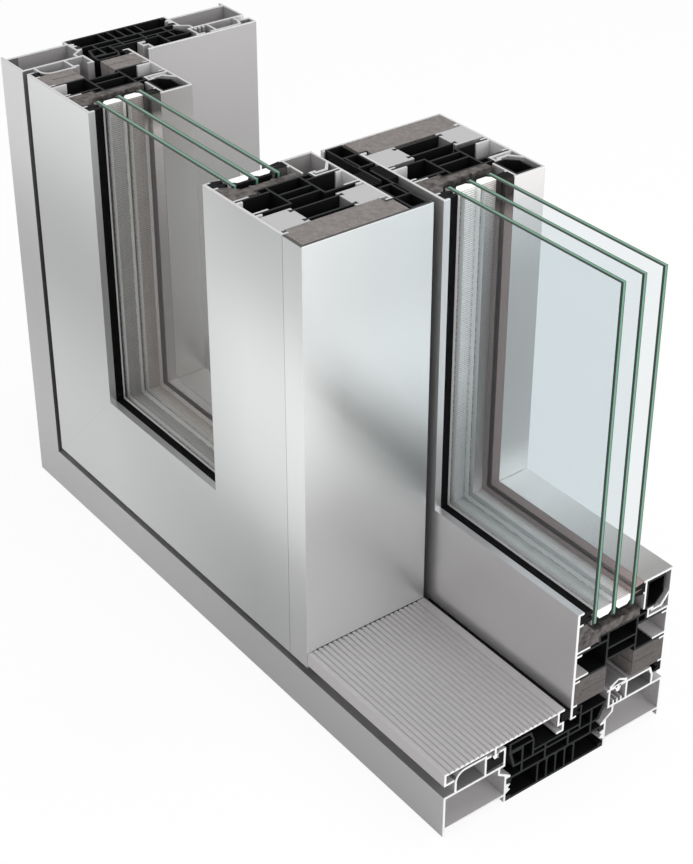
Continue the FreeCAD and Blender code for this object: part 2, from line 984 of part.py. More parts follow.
def glazingBead():
    wall = z.lipWall
    base = z.highStrip + z.stripThick + z.lipWall + z.runGap
    top = z.leafFace
    wide = z.beadWide
    footTop = z.beadSeatHigh - z.lipWall - z.runGap
    footLow = footTop - z.lipWall
    legInner = wide - wall * 2
    strut = wall * 6
    strutUnder = wall * 5
    return [[
        (zero, base),
        (zero, top),
        (wide, top),
        (wide, top - wall),
        (wide - wall, top - wall),
        (wide - wall, top - z.sealHigh + wall),
        (wide, top - z.sealHigh + wall),
        (wide, top - z.sealHigh),
        (wide - wall, top - z.sealHigh),
        (wide - wall, z.beadLeg),
        (legInner, z.beadLeg),
        (legInner, top - wall),
        (wall, top - wall),
        (wall, footTop + strut),
        (strut, footTop),
        (z.beadFootReach, footTop),
        (z.beadFootReach, footLow),
        (strutUnder, footLow),
        (wall, footLow + strutUnder),
        (wall, base),
    ]]


# A seal clips into its pocket and reaches its neighbour with two lips.
def frontGlazingSeal():
    gap = z.fitGap
    top = z.leafFace
    low = top - z.pocketHigh
    return [
        (z.skin + gap, top - z.lipWall - gap),
        (z.pocketDeep + gap, top - z.lipWall - gap),
        (z.pocketDeep + gap, top - gap),
        (z.glassFront, top - z.lipWall),
        (z.glassFront, top - z.sealNotch),
        (z.pocketDeep + z.sealLip, (top + low) / 2),
        (z.glassFront, low + z.sealNotch),
        (z.glassFront, low + z.lipWall),
        (z.pocketDeep + gap, low + gap),
        (z.pocketDeep + gap, low + z.lipWall + gap),
        (z.skin + gap, low + z.lipWall + gap),
    ]


def rearGlazingSeal():
    gap = z.fitGap
    top = z.leafFace
    low = top - z.sealHigh
    face = z.leafDepth - z.beadWide
    glass = z.glassFront + z.glassThick * 3 + z.glassGap * 2
    return [
        (face + z.lipWall - gap, top - z.lipWall - gap),
        (face - gap, top - z.lipWall - gap),
        (face - gap, top - gap),
        (glass, top - z.lipWall),
        (glass, top - z.sealNotch),
        (face - z.sealLip, (top + low) / 2),
        (glass, low + z.sealNotch),
        (glass, low + z.lipWall),
        (face - gap, low + gap),
        (face - gap, low + z.lipWall + gap),
        (face + z.lipWall - gap, low + z.lipWall + gap),
    ]


def edgeSeal():
    gap = z.fitGap
    low = z.lipWall + gap
    high = z.edgePocket - z.lipWall - gap
    tip = z.sealSeat - z.runGap
    return [
        (z.skin + gap, low),
        (z.skin + gap, high),
        (tip, high),
        (tip, high - z.sealLip),
        (z.pocketDeep + gap, (low + high) / 2),
        (tip, low + z.sealLip),
        (tip, low),
    ]


# The glazing's spacer bar is bevelled towards the glass edge, and sealant fills the rest.
def spacerBar(front):
    back = front + z.glassGap
    low = z.spacerStart
    bevel = z.spacerBevel
    return [
        (front, low + z.spacerHigh),
        (back, low + z.spacerHigh),
        (back, low + bevel),
        (back - bevel, low),
        (front + bevel, low),
        (front, low + bevel),
    ]


def edgeSealant(front):
    back = front + z.glassGap
    low = z.spacerStart
    bevel = z.spacerBevel
    return [
        (front, z.glassStart),
        (front, low + bevel),
        (front + bevel, low),
        (back - bevel, low),
        (back, low + bevel),
        (back, z.glassStart),
    ]


def rectangle(left, right, low, high):
    return [(left, low), (right, low), (right, high), (left, high)]


# Meeting stile sections: across is from the joint line towards the cover,
# depth is from the room-side skin towards the other leaf.

def meetingMap(leaf):
    if leaf.side < 0:
        return lambda across, depth: (leaf.joint + across, leaf.front + depth)
    rear = leaf.front + z.leafDepth
    return lambda across, depth: (leaf.joint - across, rear - depth)


def meetingBlocks():
    gap = z.fitGap
    inner = zero - z.blockSkip - z.blockWide
    outer = zero - z.blockSkip
    foot = z.strapFoot
    wall = z.meetWall
    nearLow = z.skin + gap
    nearHigh = nearLow + z.blockDeep

    def notched(edge, away, side):
        sink = foot * side
        slot = wall / 2 + gap
        left = inner + foot
        right = outer - foot
        return [
            (inner, away),
            (inner, edge),
            (left - slot, edge),
            (left - foot / 2 - gap, edge - sink),
            (left + foot / 2 + gap, edge - sink),
            (left + slot, edge),
            (right - slot, edge),
            (right - foot / 2 - gap, edge - sink),
            (right + foot / 2 + gap, edge - sink),
            (right + slot, edge),
            (outer, edge),
            (outer, away),
        ]

    farHigh = z.leafDepth - z.skin - gap
    farLow = farHigh - z.blockDeep
    return [notched(nearHigh, nearLow, 1), notched(farLow, farHigh, -1)]


def meetingStraps():
    gap = z.fitGap
    inner = zero - z.blockSkip - z.blockWide
    outer = zero - z.blockSkip
    foot = z.strapFoot
    low = z.skin + gap + z.blockDeep
    high = z.leafDepth - low
    loops = []
    for centre in (inner + foot, outer - foot):
        half = z.meetWall / 2
        loops.append([
            (centre - half, low),
            (centre - foot / 2, low - foot + gap),
            (centre + foot / 2, low - foot + gap),
            (centre + half, low),
            (centre + half, high),
            (centre + foot / 2, high + foot - gap),
            (centre - foot / 2, high + foot - gap),
            (centre - half, high),
        ])
    return loops


def meetingFoam():
    gap = z.fitGap
    liner = z.coverLiner
    left = zero - z.blockSkip + gap * 2
    right = z.coverWide - z.coverWall - liner
    lip = z.pocketDeep + gap
    arm = z.meetWall + gap * 4
    top = z.leafDepth - z.meetWall
    return [[
        (left, lip),
        (liner, lip),
        (liner, z.coverWall + liner),
        (right, z.coverWall + liner),
        (right, top),
        (arm, top),
        (arm, z.leafDepth - z.meetArm - gap),
        (left, z.leafDepth - z.meetArm - gap),
    ]]


def meetingCover():
    wall = z.coverWall
    gap = z.runGap
    wide = z.coverWide
    return [[
        (gap, zero),
        (wide, zero),
        (wide, z.coverDeep),
        (wide - z.coverLip, z.coverDeep),
        (wide - z.coverLip, z.coverDeep - wall),
        (wide - wall, z.coverDeep - wall),
        (wide - wall, wall),
        (gap, wall),
    ]]


def meetingProfile():
    gap = z.fitGap
    wall = z.meetWall
    low = z.leafDepth + gap
    high = low + z.meetDeep
    left = zero - z.meetInner
    armLeft = gap * 2
    armRight = armLeft + wall
    right = z.coverWide - z.coverWall - gap
    outer = [
        (left, low),
        (armLeft, low),
        (armLeft, z.leafDepth - z.meetArm),
        (armRight, z.leafDepth - z.meetArm),
        (armRight, low),
        (right, low),
        (right, high),
        (left - z.hookLong, high),
        (left - z.hookLong, high - wall),
        (left, high - wall),
    ]
    web = high - z.meetWeb
    return [
        outer,
        rectangle(left + wall, armLeft, low + wall, web),
        rectangle(left + wall, armLeft, web + wall, high - wall / 2),
        rectangle(armRight, right - wall, low + wall, high - wall),
    ]


# Pile on the leaf's skin that brushes the other leaf's hook.
def meetingPile():
    low = z.leafDepth + z.fitGap
    base = low + z.pileBase
    tip = z.trackPitch - z.fitGap - z.meetDeep - z.runGap
    edge = zero - z.meetInner - z.pileInset
    tufts = 11
    loop = [(edge, low)]
    for turn in range(tufts):
        right = edge - z.pilePitch * turn
        left = right - z.pileThick
        loop += [(right, tip), (left, tip), (left, base)]
        if turn < tufts - 1:
            loop.append((right - z.pilePitch, base))
    loop[-1] = (loop[-1][0], low)
    return [loop]


# The leaves

class Leaf:
    def __init__(self, name, front, joint, side, foot):
        self.name = name
        self.front = front
        self.joint = joint
        self.side = side
        self.foot = foot


fixed = Leaf("fixed", zero, z.jointLine, -1, z.fixedFoot)
sliding = Leaf("sliding", z.trackPitch, z.jointLine - z.meetOverlap, 1, z.slidingFoot)
corner = z.leafSeat


def shellStyles(meeting):
    if meeting:
        return (frontShell(plainEnd()), rearShell(plainEnd()))
    return (frontShell(outerPocket()), rearShell(outerPocket()))


def makeLeafRails(leaf, left, right, mitres):
    front, rear = shellStyles(False)
    name = leaf.name + "_bottom_rail"
    rail(name + "_front", front, leaf.front, corner, left, right, mitres)
    rail(name + "_rear", rear, leaf.front, corner, left, right, mitres)
    rail(name + "_core", leafCore(), leaf.front, corner, left, right, mitres)


def makeStile(leaf, name, edge, side, meeting):
    front, rear = shellStyles(meeting)
    waste = [stileMitre(edge, corner, z.mitreWaste, side)]
    stile(name + "_front", front, leaf.front, edge, side, corner, waste)
    stile(name + "_rear", rear, leaf.front, edge, side, corner, waste)
    return waste


def makeMeetingStile(leaf):
    name = leaf.name + "_meeting_stile"
    waste = makeStile(leaf, name, leaf.joint, leaf.side, True)
    length = z.cutHeight - corner
    mapping = meetingMap(leaf)
    foot = leaf.foot
    core = newBody(name + "_core")
    placed = place(leafCore(), standing(leaf.front, leaf.joint, leaf.side))
    pad(core, name + "_corePad", "XY_Plane", corner, length, placed)
    pad(core, name + "_strapPad", "XY_Plane", foot, z.cutHeight - foot,
        place(meetingStraps(), mapping))
    addMitres(core, name + "_core", waste)
    for suffix, loops, start in (("_blocks", meetingBlocks(), foot),
                                 ("_cover_foam", meetingFoam(), foot),
                                 ("_cover", meetingCover(), corner),
                                 ("_profile", meetingProfile(), corner)):
        body = newBody(name + suffix)
        pad(body, name + suffix + "Pad", "XY_Plane", start, z.cutHeight - start,
            place(loops, mapping))
        if suffix == "_blocks":
            addMitres(body, name + suffix, waste)
        if suffix == "_cover":
            notchCover(body, leaf)


# The side cover is cut away over the track, with a tongue left down its outer edge.
def notchCover(body, leaf):
    near = z.coverTongue
    far = z.coverDeep + z.runGap
    if leaf.side > 0:
        rear = leaf.front + z.leafDepth
        near, far = rear - far, rear - near
    cutThrough(body, leaf.name + "CoverNotch", "YZ_Plane",
               [rectangle(near, far, corner - z.runGap, leaf.foot)])


# Runs along the edges of a leaf: down the left side, along the bottom and, on the
# fixed leaf, up the meeting stile.
def glassPath(leaf):
    if leaf.side < 0:
        return [(z.leafSeat, z.cutHeight), (z.leafSeat, corner),
                (leaf.joint, corner), (leaf.joint, z.cutHeight)]
    return [(leaf.joint, z.cutHeight), (leaf.joint, corner), (z.overallWidth, corner)]


def leftEdge(leaf):
    return z.leafSeat if leaf.side < 0 else leaf.joint


def sweepLoop(body, leaf, name, loop, path):
    placed = place([loop], standing(leaf.front, leftEdge(leaf), 1))[0]
    return sweep(body, name, placed, path)


def makeRuns(leaf):
    path = glassPath(leaf)
    pane = z.glassThick
    pitch = z.glassThick + z.glassGap
    seals = newBody(leaf.name + "_seals")
    sweepLoop(seals, leaf, leaf.name + "FrontSeal", frontGlazingSeal(), path)
    sweepLoop(seals, leaf, leaf.name + "RearSeal", rearGlazingSeal(), path)
    spacers = newBody(leaf.name + "_spacers")
    for turn in range(2):
        front = z.glassFront + pane + pitch * turn
        sweepLoop(spacers, leaf, f"{leaf.name}Spacer{turn}", spacerBar(front), path)
        sweepLoop(seals, leaf, f"{leaf.name}EdgeSealant{turn}", edgeSealant(front), path)
    foam = newBody(leaf.name + "_rebate_foam")
    sweepLoop(foam, leaf, leaf.name + "RebateFoam", rebateFoam(), path)
    makeEdgeSeals(seals, leaf)
    pile = place(meetingPile(), meetingMap(leaf))
    pad(seals, leaf.name + "Pile", "XY_Plane", corner, z.cutHeight - corner, pile)


def makeEdgeSeals(seals, leaf):
    if leaf.side < 0:
        path = [(z.leafSeat, z.cutHeight), (z.leafSeat, corner),
                (leaf.joint - z.edgePocket, corner)]
        sweepLoop(seals, leaf, leaf.name + "OuterSealFront", edgeSeal(), path)
        sweepLoop(seals, leaf, leaf.name + "OuterSealRear", fromRear([edgeSeal()])[0], path)
        return
    loops = [edgeSeal()] + fromRear([edgeSeal()])
    placed = place(loops, lying(leaf.front, corner))
    start = leaf.joint + z.edgePocket
    pad(seals, leaf.name + "OuterSeals", "YZ_Plane", start, z.overallWidth - start, placed)


def makeGlass(leaf):
    body = newBody(leaf.name + "_glass_panes")
    low = corner + z.glassStart
    if leaf.side < 0:
        left = z.leafSeat + z.glassStart
        right = leaf.joint - z.glassStart
    else:
        left = leaf.joint + z.glassStart
        right = z.overallWidth
    loops = []
    for turn in range(3):
        front = leaf.front + z.glassFront + (z.glassThick + z.glassGap) * turn
        loops.append(rectangle(left, right, front, front + z.glassThick))
    pad(body, leaf.name + "Panes", "XY_Plane", low, z.cutHeight - low, loops)


# Beads and foam go round the corner as mitred pieces with a hairline between them.
def makeMitredSet(label, leaf, loops):
    left = leftEdge(leaf)
    right = leaf.joint if leaf.side < 0 else z.overallWidth
    reach = z.mitreWaste
    gap = z.runGap
    bottomWaste = [railMitre(left + gap, corner, reach, 1)]
    if leaf.side < 0:
        bottomWaste.append(railMitre(right - gap, corner, reach, -1))
    members = [rail(label + "Bottom", loops, leaf.front, corner, left, right, bottomWaste)]
    sideWaste = [stileMitre(left, corner, reach, 1)]
    members.append(stile(label + "Left", loops, leaf.front, left, 1, corner, sideWaste))
    if leaf.side < 0:
        sideWaste = [stileMitre(right, corner, reach, -1)]
        members.append(stile(label + "Right", loops, leaf.front, right, -1, corner, sideWaste))
    return members


def makeBeads(leaf):
    label = leaf.name + "_glazing_beads"
    group(label, makeMitredSet(label, leaf, fromRear(glazingBead())))


def makeFoam(leaf):
    label = leaf.name + "_foam"
    loops = foamBlock() + fromRear(foamBlock())
    left = leftEdge(leaf)
    right = leaf.joint if leaf.side < 0 else z.overallWidth
    reach = z.mitreWaste
    bottomWaste = [railMitre(left + z.runGap, corner, reach, 1)]
    if leaf.side < 0:
        bottomWaste.append(railMitre(right - z.runGap, corner, reach, -1))
    members = [rail(label + "Bottom", loops, leaf.front, corner, left, right, bottomWaste)]
    if leaf.side < 0:
        sideWaste = [stileMitre(left, corner, reach, 1)]
        members.append(stile(label + "Left", loops, leaf.front, left, 1, corner, sideWaste))
    group(label, members)


def makeFixedLeaf():
    reach = z.mitreWaste
    mitres = [
        railMitre(z.leafSeat, corner, reach, 1),
        railMitre(fixed.joint, corner, reach, -1),
    ]
    makeLeafRails(fixed, z.leafSeat, fixed.joint, mitres)
    name = "fixed_left_stile"
    waste = makeStile(fixed, name, z.leafSeat, 1, False)
    stile(name + "_core", leafCore(), zero, z.leafSeat, 1, corner, waste)
    makeMeetingStile(fixed)
    makeRuns(fixed)
    makeGlass(fixed)
    makeBeads(fixed)
    makeFoam(fixed)


def makeSlidingLeaf():
    reach = z.mitreWaste
    mitres = [railMitre(sliding.joint, corner, reach, 1)]
    makeLeafRails(sliding, sliding.joint, z.overallWidth, mitres)
    makeMeetingStile(sliding)
    makeRuns(sliding)
    makeGlass(sliding)
    makeBeads(sliding)
    makeFoam(sliding)


# The outer frame

def makeFrame():
    reach = z.frameDepth
    sillWaste = [railMitre(zero, zero, reach, 1)]
    jambWaste = [stileMitre(zero, zero, reach, 1)]
    for name, loops in (("front_profile", frontAluminium()),
                        ("thermal_break", thermalBreak()),
                        ("rear_profile", rearAluminium())):
        rail("sill_" + name, loops, zero, zero, zero, z.overallWidth, sillWaste)
        stile("jamb_" + name, loops, zero, zero, 1, zero, jambWaste)
    railStart = z.jambCoverTop + z.runGap
    rail("running_rail", runningRail(), zero, zero, railStart, z.overallWidth, [])
    makeJambCover()
    makeThreshold()


def makeJambCover():
    stile("jamb_cover", jambCover(), zero, zero, 1, z.upstandTop + z.runGap, [])


def makeThreshold():
    start = z.jointLine + z.coverWide + z.runGap
    body = rail("threshold_plate", thresholdPlate(), zero, zero, start, z.overallWidth, [])
    cutRibs(body)
    gap = z.fitGap
    loop = rectangle(z.plateDeep - z.plateLegStep + gap, z.trackPitch - z.runGap,
                     z.plateLegMid + gap, z.plateTop - z.plateWall * 2)
    rail("threshold_seal", [loop, clipBed()], zero, zero, start, z.overallWidth, [])


def cutRibs(body):
    sketch = newSketch(body, "RibGrooveSketch", "YZ_Plane", zero)
    first = z.ribPitch
    half = z.ribPitch / 3
    drawLoop(sketch, [
        (first - half, z.plateTop + z.ribDeep),
        (first - half / 3, z.plateTop - z.ribDeep),
        (first + half / 3, z.plateTop - z.ribDeep),
        (first + half, z.plateTop + z.ribDeep),
    ])
    groove = body.newObject("PartDesign::Pocket", "RibGroove")
    groove.Profile = sketch
    groove.Type = "ThroughAll"
    groove.SideType = "Symmetric"
    pattern = body.newObject("PartDesign::LinearPattern", "RibGrooves")
    pattern.Originals = [groove]
    pattern.Direction = (sketch, ["H_Axis"])
    count = int(z.plateDeep.value / z.ribPitch.value) - 1
    pattern.Occurrences = count
    pattern.setExpression("Length", (z.ribPitch * (count - 1)).formula)
    body.Tip = pattern


makeFrame()
makeFixedLeaf()
makeSlidingLeaf()
doc.recompute()

faults = []
for item in doc.Objects:
    if "Invalid" in item.State or "Error" in item.State:
        faults.append(f"{item.Label} {item.State}")
groups = [item for item in doc.Objects if item.TypeId == "Part::Compound"]
grouped = [member for node in groups for member in node.Links]
bodies = [item for item in doc.Objects if item.TypeId == "PartDesign::Body"]
nodes = groups + [body for body in bodies if body not in grouped]
for node in nodes:
    if node.Shape.isNull() or not node.Shape.isValid():
        faults.append(f"{node.Label} has no sound shape")
if faults:
    raise SystemExit("\n".join(faults))
for node in nodes:
    node.Shape.exportStep(f"parts/{node.Label}.step")
    print(node.Label, len(node.Shape.Solids), "solids", round(node.Shape.Volume))
print(len(nodes), "nodes")
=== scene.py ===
import json
import math
import bpy
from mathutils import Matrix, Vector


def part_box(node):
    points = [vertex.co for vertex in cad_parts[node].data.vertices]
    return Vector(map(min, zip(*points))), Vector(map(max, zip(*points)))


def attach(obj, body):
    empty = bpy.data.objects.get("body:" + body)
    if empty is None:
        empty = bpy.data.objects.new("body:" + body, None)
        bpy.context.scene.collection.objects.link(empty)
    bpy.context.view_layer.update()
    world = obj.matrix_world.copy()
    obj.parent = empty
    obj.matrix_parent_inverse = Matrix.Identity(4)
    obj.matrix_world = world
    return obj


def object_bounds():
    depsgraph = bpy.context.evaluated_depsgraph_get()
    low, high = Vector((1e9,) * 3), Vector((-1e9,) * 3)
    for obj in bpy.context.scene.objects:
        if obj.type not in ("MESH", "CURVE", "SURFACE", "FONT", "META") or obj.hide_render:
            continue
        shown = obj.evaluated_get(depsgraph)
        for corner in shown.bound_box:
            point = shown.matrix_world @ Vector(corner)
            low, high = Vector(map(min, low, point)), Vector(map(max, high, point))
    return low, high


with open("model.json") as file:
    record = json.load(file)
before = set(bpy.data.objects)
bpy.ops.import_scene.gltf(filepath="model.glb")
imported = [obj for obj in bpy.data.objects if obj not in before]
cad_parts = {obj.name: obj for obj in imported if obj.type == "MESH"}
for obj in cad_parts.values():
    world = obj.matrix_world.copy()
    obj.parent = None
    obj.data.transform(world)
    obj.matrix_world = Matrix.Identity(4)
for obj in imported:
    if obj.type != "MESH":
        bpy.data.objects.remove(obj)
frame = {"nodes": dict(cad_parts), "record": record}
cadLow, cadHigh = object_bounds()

nodes = frame["nodes"]
scene = bpy.context.scene
mm = 0.001
print("frame loaded:", len(nodes), "nodes")


# Shader sums: a Signal is a socket that can stand in a Python expression.
class Signal:
    def __init__(self, graph, socket):
        self.graph = graph
        self.socket = socket

    def sum(self, operation, first, second=0.0):
        return self.graph.add("ShaderNodeMath", {"operation": operation}, {0: first, 1: second})

    def __add__(self, other):
        return self.sum("ADD", self, other)

    def __radd__(self, other):
        return self.sum("ADD", other, self)

    def __sub__(self, other):
        return self.sum("SUBTRACT", self, other)

    def __rsub__(self, other):
        return self.sum("SUBTRACT", other, self)

    def __mul__(self, other):
        return self.sum("MULTIPLY", self, other)

    def __rmul__(self, other):
        return self.sum("MULTIPLY", other, self)

    def __truediv__(self, other):
        return self.sum("DIVIDE", self, other)

    def __rtruediv__(self, other):
        return self.sum("DIVIDE", other, self)

    def __mod__(self, other):
        return self.sum("FLOORED_MODULO", self, other)

    def __gt__(self, other):
        return self.sum("GREATER_THAN", self, other)

    def __lt__(self, other):
        return self.sum("LESS_THAN", self, other)

    def __abs__(self):
        return self.sum("ABSOLUTE", self)

    def least(self, other):
        return self.sum("MINIMUM", self, other)

    def clamped(self):
        return self.sum("MAXIMUM", self, 0.0).least(1.0)

    def output(self, name):
        return Signal(self.graph, self.socket.node.outputs[name])


class Graph:
    def __init__(self, tree):
        self.tree = tree
        self.tree.nodes.clear()
        self.where = None

    def add(self, kind, settings, values, output=0):  # the one way in for every node
        node = self.tree.nodes.new(kind)
        for key, value in settings.items():
            if key == "stops":
                ramp = node.color_ramp
                while len(ramp.elements) < len(value):
                    ramp.elements.new(1.0)
                for element, (place, colour) in zip(ramp.elements, value):
                    element.position = place
                    element.color = colour
            elif key == "easing":
                node.color_ramp.interpolation = value
            else:
                setattr(node, key, value)
        for key, value in values.items():
            if isinstance(value, Signal):
                self.tree.links.new(value.socket, node.inputs[key])
            else:
                node.inputs[key].default_value = value
        if not node.outputs:
            return None
        return Signal(self, node.outputs[output])

    def place(self):
        if self.where is None:
            self.where = self.add("ShaderNodeTexCoord", {}, {}, "Object")
        return self.where

    def axes(self, vector):
        split = self.add("ShaderNodeSeparateXYZ", {}, {0: vector})
        return split.output("X"), split.output("Y"), split.output("Z")

    def facing(self):
        return self.axes(self.place().output("Normal"))

    def noise(self, scale, detail=2.0):
        return self.add("ShaderNodeTexNoise", {}, {
            "Vector": self.place(), "Scale": scale, "Detail": detail, "Roughness": 0.5})

    def ramp(self, factor, stops):
        return self.add("ShaderNodeValToRGB", {"stops": stops, "easing": "B_SPLINE"}, {
            "Fac": factor})

    def tones(self, factor, stops, level=1.0):
        return self.ramp(factor, [(place, grey(share * level)) for place, share in stops])

    def blend(self, factor, first, second, way="MIX"):
        settings = {"data_type": "RGBA", "blend_type": way}
        return self.add("ShaderNodeMix", settings, {0: factor, 6: first, 7: second}, 2)

    def bump(self, height, strength, distance):
        return self.add("ShaderNodeBump", {}, {
            "Height": height, "Strength": strength, "Distance": distance})

    def surface(self, values, solid=None, clear=None):
        shader = self.add("ShaderNodeBsdfPrincipled", {}, values)
        if clear:
            through = self.add("ShaderNodeBsdfTransparent", {}, {"Color": clear})
            shader = self.add("ShaderNodeMixShader", {}, {0: solid, 1: through, 2: shader})
        self.add("ShaderNodeOutputMaterial", {}, {"Surface": shader})


def newFinish(name):
    material = bpy.data.materials.new(name)
    material.use_nodes = True
    return material, Graph(material.node_tree)


def grey(value):
    return (value, value, value, 1.0)


square = 0.9  # a face looks along an axis when its normal has at least this share of it

# The sample is sawn off level at the top and upright at the right end.
sawn = {"top": cadHigh.z, "right": cadHigh.x, "reach": 0.4 * mm, "burr": 0.2 * mm,
        "ragScale": 900.0, "rag": 0.6 * mm}


def sawnFace(g):
    across, deep, up = g.axes(g.place())
    faceX, faceY, faceZ = g.facing()
    top = (up > sawn["top"] - sawn["reach"]) * (faceZ > square)
    right = (across > sawn["right"] - sawn["reach"]) * (faceX > square)
    return (top + right).clamped()


def sawnEdge(g):  # bare metal where the saw left a fine burr along the edge
    across, deep, up = g.axes(g.place())
    rag = g.noise(sawn["ragScale"]) * sawn["rag"]
    return ((up + rag > sawn["top"] - sawn["burr"])
            + (across + rag > sawn["right"] - sawn["burr"])).clamped()


# The inner walls of a section lie between its skins: near and far from the front,
# low and high from the outer edge of the frame or of the leaf, all in millimetres.
sections = {
    "frame": {"left": 0.0, "bottom": 0.0,
              "rooms": [(1.2, 181.8, 1.2, 30.9), (9.6, 172.0, 31.8, 46.0)]},
    "fixed": {"left": 38.2, "bottom": 38.2, "right": 339.4, "rooms": [(1.0, 79.6, -1.0, 81.2)]},
    "sliding": {"left": 278.4, "bottom": 38.2, "rooms": [(102.7, 181.2, -1.0, 81.2)]},
}


def edgeHeight(g, section):  # how far in from the outer edge, in millimetres
    across, deep, up = g.axes(g.place())
    across = (across - cadLow.x) / mm
    height = (across - section["left"]).least(up / mm - section["bottom"])
    if "right" in section:
        height = height.least(section["right"] - across)
    return height


def innerWall(g, section):
    across, deep, up = g.axes(g.place())
    deep = (deep - cadLow.y) / mm
    height = edgeHeight(g, section)
    found = 0.0
    for near, far, low, high in section["rooms"]:
        found = found + (deep > near) * (deep < far) * (height > low) * (height < high)
    return found


# Satin anodised aluminium. Tones are painted reflections and shade by height: (share of the
# height, share of the colour), one list for the left end of the span and one for its right end, in
# millimetres across.
evenTone = [(0.0, 1.0), (1.0, 1.0)]
leftPaintedReflection = [(0.0, 0.80), (0.24, 0.82), (0.41, 0.70), (0.54, 0.57), (0.64, 0.54), (0.76, 0.60),
             (0.87, 0.78), (1.0, 0.95)]
rightPaintedReflection = [(0.0, 0.45), (0.20, 0.47), (0.32, 0.56), (0.41, 0.80), (0.52, 0.98), (0.64, 1.04),
              (0.76, 0.98), (0.87, 0.74), (1.0, 0.60)]
jambPaintedReflection = [(0.0, 0.70), (0.17, 0.79), (0.35, 0.68), (0.52, 0.61), (0.67, 0.67), (0.81, 0.94),
             (1.0, 1.04)]
coverPaintedReflection = [(0.0, 0.84), (0.26, 0.84), (0.35, 0.84), (0.44, 0.80), (0.52, 0.90), (0.61, 1.02),
              (0.70, 1.06), (0.78, 1.02), (0.87, 0.89), (1.0, 0.93)]
railPaintedLightShade = [(0.0, 1.14), (0.18, 1.14), (0.29, 0.86), (0.40, 0.90), (0.5, 1.0), (1.0, 0.9)]
railEndPaintedShade = [(0.0, 0.82), (0.18, 0.82), (0.29, 0.70), (1.0, 0.70)]
jambSidePaintedShade = [(0.0, 0.9), (0.5, 0.86), (0.7, 0.80), (0.85, 0.9), (1.0, 1.0)]
fixedBeadPaintedShade = [(0.0, 1.0), (0.75, 1.0), (0.94, 0.70), (1.0, 0.70)]
slideBeadPaintedShade = [(0.0, 1.0), (0.37, 1.0), (0.43, 0.52), (0.80, 0.52), (0.92, 0.76), (1.0, 0.88)]
aluminiumBase = {
    "sawn": (0.55, 0.55, 0.55, 1.0), "sawnEnd": (0.80, 0.80, 0.80, 1.0),
    "roughness": 0.30, "sawnRoughness": 0.5, "innerRoughness": 0.2,
    "metal": 0.75, "sawnMatt": 0.6, "innerMatt": 0.85,
    "left": evenTone, "right": evenTone, "span": (120.0, 300.0),
    "level": 0.95, "frontLevel": 0.93,
    "cloud": 0.06, "cloudScale": 7.0,
    "grainScale": 2400.0, "grainRoughness": 0.06, "grainBump": 0.1,
    "kerfScale": 260.0, "kerfWander": 4.0, "kerfBump": 0.5,
    "bump": 0.2, "bumpDeep": 0.1 * mm,
    "mitreWide": 0.14 * mm, "mitreTone": 0.82, "mitreTop": 121 * mm,
    "ledgeDeep": 10 * mm, "ledgeTone": 0.6, "ribFace": 0.3,
    # inner walls, with painted light and shade by place: near the top cut, near the right end low
    # down, and elsewhere
    "section": "frame", "inner": (0.345, 0.335, 0.338, 1.0),
    "innerTop": (0.30, 0.29, 0.292, 1.0), "innerReach": 25 * mm,
    "innerLow": (0.42, 0.405, 0.41, 1.0), "innerDeep": (0.90, 0.87, 0.88, 1.0),
    "deepReach": 50 * mm, "innerHigh": 130 * mm, "endReach": 230 * mm,
}
# The leaf, frame, jamb side, cover, slide and bead looks are lit and shaded copies of one anodised
# aluminium: their colours and tone lists hold painted light, shade and reflections.
aluminiumLooks = {
    "leafAluminium": {"colour": (0.82, 0.835, 0.83, 1.0), "left": leftPaintedReflection, "right": rightPaintedReflection,
                      "section": "fixed", "innerTop": (0.62, 0.61, 0.612, 1.0)},
    # the frame is painted darker towards its right end, as painted shade
    "frameAluminium": {"colour": (0.71, 0.705, 0.707, 1.0), "left": jambPaintedReflection,
                       "right": [(0.0, 0.56), (1.0, 0.56)], "ledge": True},
    "jambSideAluminium": {"colour": (0.50, 0.49, 0.49, 1.0), "left": jambSidePaintedShade},
    "coverAluminium": {"colour": (0.88, 0.89, 0.885, 1.0), "left": coverPaintedReflection,
                       "right": coverPaintedReflection, "section": "fixed", "sawn": grey(0.06),
                       "glance": True, "front": rightPaintedReflection},
    "slideAluminium": {"colour": (0.80, 0.785, 0.79, 1.0), "left": railPaintedLightShade,
                       "right": railEndPaintedShade, "span": (370.0, 490.0),
                       "section": "sliding", "innerTop": (0.62, 0.61, 0.612, 1.0)},
    "fixedBeadAluminium": {"colour": (0.68, 0.665, 0.65, 1.0), "left": fixedBeadPaintedShade,
                           "section": "fixed"},
    # the slide bead is painted much darker towards its right end, as painted shade
    "slideBeadAluminium": {"colour": (0.95, 0.935, 0.925, 1.0), "left": slideBeadPaintedShade,
                           "right": [(0.0, 0.35), (1.0, 0.35)], "span": (390.0, 490.0),
                           "section": "sliding"},
    "railAluminium": {"colour": (0.55, 0.545, 0.547, 1.0)},
    "thresholdAluminium": {"colour": (0.435, 0.418, 0.422, 1.0), "roughness": 0.5, "metal": 0.35,
                           "ribPitch": 3.9, "ribGrooveShade": 0.98},
    "blockAluminium": {"colour": (0.60, 0.60, 0.60, 1.0), "sawn": (0.43, 0.43, 0.435, 1.0)},
}
# A soft dark reflection leans across the side of the cover: (slanted height, tone).
glanceLook = {"lean": 1.15, "low": 200.0, "high": 330.0, "start": -12.0, "reach": 42.0,
              "near": 0.95, "rise": 0.0011,
              "tones": [(0.0, 1.0), (0.20, 0.98), (0.38, 0.70), (0.47, 0.52), (0.60, 0.74),
                        (0.80, 1.0), (1.0, 1.0)]}


